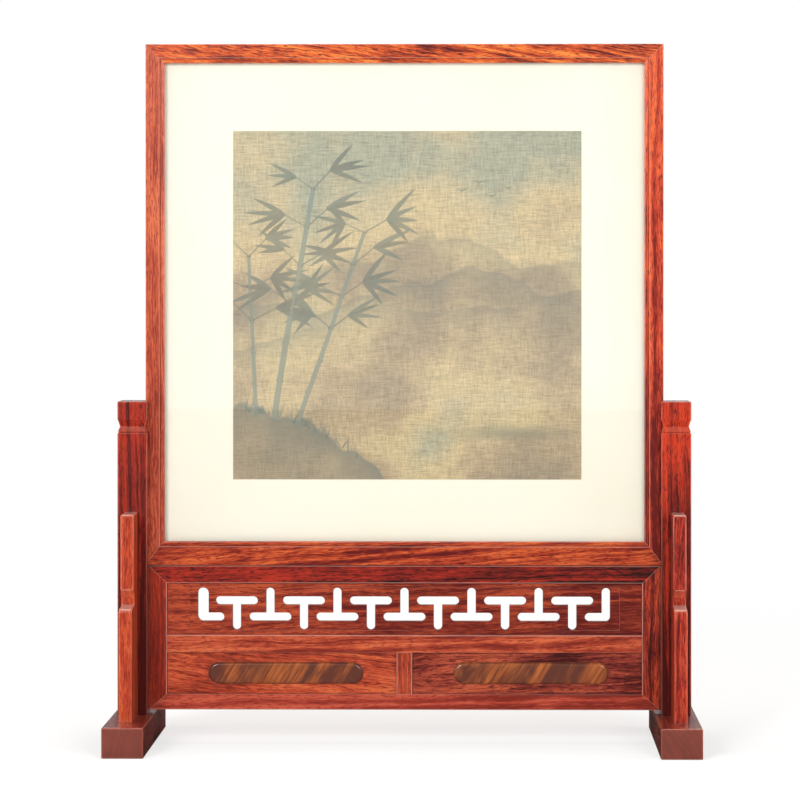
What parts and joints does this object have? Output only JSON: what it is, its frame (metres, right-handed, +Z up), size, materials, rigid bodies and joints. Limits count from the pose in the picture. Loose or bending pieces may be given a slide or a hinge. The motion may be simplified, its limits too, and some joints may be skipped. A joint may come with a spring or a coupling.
{
  "type": "table screen",
  "caption": "Table screen: glazed square picture frame that lifts out of a two-post hardwood stand with spandrels, pierced fret panel and bossed lower panels.",
  "frame": {"origin": "on the table, midway between the feet and midway between front and back", "axes": "+X to the right seen from the front, the picture faces -Y, +Z up"},
  "size_m": [0.428, 0.16, 0.5138],
  "materials": {
    "stand_wood": "lacquered",
    "frame_wood": "lacquered",
    "panel_wood": "lacquered",
    "boss_wood": "lacquered",
    "glazing": "polished",
    "silk": "matt silk",
    "mount_board": "matt",
    "backing_wood": "sanded",
    "button_brass": "satin",
    "screw_steel": "plated"
  },
  "bodies": {
    "stand": {"left_foot": "stand_wood", "right_foot": "stand_wood", "left_post": "stand_wood", "right_post": "stand_wood", "front_left_bracket": "stand_wood", "front_right_bracket": "stand_wood", "rear_left_bracket": "stand_wood", "rear_right_bracket": "stand_wood", "base_left_stile": "stand_wood", "base_right_stile": "stand_wood", "base_bottom_rail": "stand_wood", "base_middle_rail": "stand_wood", "base_top_rail": "stand_wood", "base_muntin": "stand_wood", "fretwork_panel": "panel_wood", "left_lower_panel": "panel_wood", "right_lower_panel": "panel_wood", "left_boss": "boss_wood", "right_boss": "boss_wood"},
    "picture_frame": {"frame_left_stile": "frame_wood", "frame_right_stile": "frame_wood", "frame_bottom_rail": "frame_wood", "frame_top_rail": "frame_wood", "glazing_sheet": "glazing", "silk_leaf": "silk", "mount_board": "mount_board", "backing_board": "backing_wood", "turn_button_screws": "screw_steel"},
    "button_1": {"turn_button_1": "button_brass"},
    "button_2": {"turn_button_2": "button_brass"},
    "button_3": {"turn_button_3": "button_brass"},
    "button_4": {"turn_button_4": "button_brass"},
    "button_5": {"turn_button_5": "button_brass"},
    "button_6": {"turn_button_6": "button_brass"},
    "button_7": {"turn_button_7": "button_brass"},
    "button_8": {"turn_button_8": "button_brass"}
  },
  "joints": [
    {"name": "frame_lift", "type": "slide", "parent": "stand", "child": "picture_frame", "axis": [0, 0, 1], "range_m": [0, 0.125]},
    {"name": "button_1_pivot", "type": "hinge", "parent": "picture_frame", "child": "button_1", "pos_m": [-0.1855, 0.009, 0.3013], "axis": [0, 1, 0], "range_deg": [-90, 90]},
    {"name": "button_2_pivot", "type": "hinge", "parent": "picture_frame", "child": "button_2", "pos_m": [0.1855, 0.009, 0.3013], "axis": [0, 1, 0], "range_deg": [-90, 90]},
    {"name": "button_3_pivot", "type": "hinge", "parent": "picture_frame", "child": "button_3", "pos_m": [-0.1855, 0.009, 0.4413], "axis": [0, 1, 0], "range_deg": [-90, 90]},
    {"name": "button_4_pivot", "type": "hinge", "parent": "picture_frame", "child": "button_4", "pos_m": [0.1855, 0.009, 0.4413], "axis": [0, 1, 0], "range_deg": [-90, 90]},
    {"name": "button_5_pivot", "type": "hinge", "parent": "picture_frame", "child": "button_5", "pos_m": [-0.09, 0.009, 0.1358], "axis": [0, 1, 0], "range_deg": [-90, 90]},
    {"name": "button_6_pivot", "type": "hinge", "parent": "picture_frame", "child": "button_6", "pos_m": [-0.09, 0.009, 0.5093], "axis": [0, 1, 0], "range_deg": [-90, 90]},
    {"name": "button_7_pivot", "type": "hinge", "parent": "picture_frame", "child": "button_7", "pos_m": [0.09, 0.009, 0.1358], "axis": [0, 1, 0], "range_deg": [-90, 90]},
    {"name": "button_8_pivot", "type": "hinge", "parent": "picture_frame", "child": "button_8", "pos_m": [0.09, 0.009, 0.5093], "axis": [0, 1, 0], "range_deg": [-90, 90]}
  ]
}
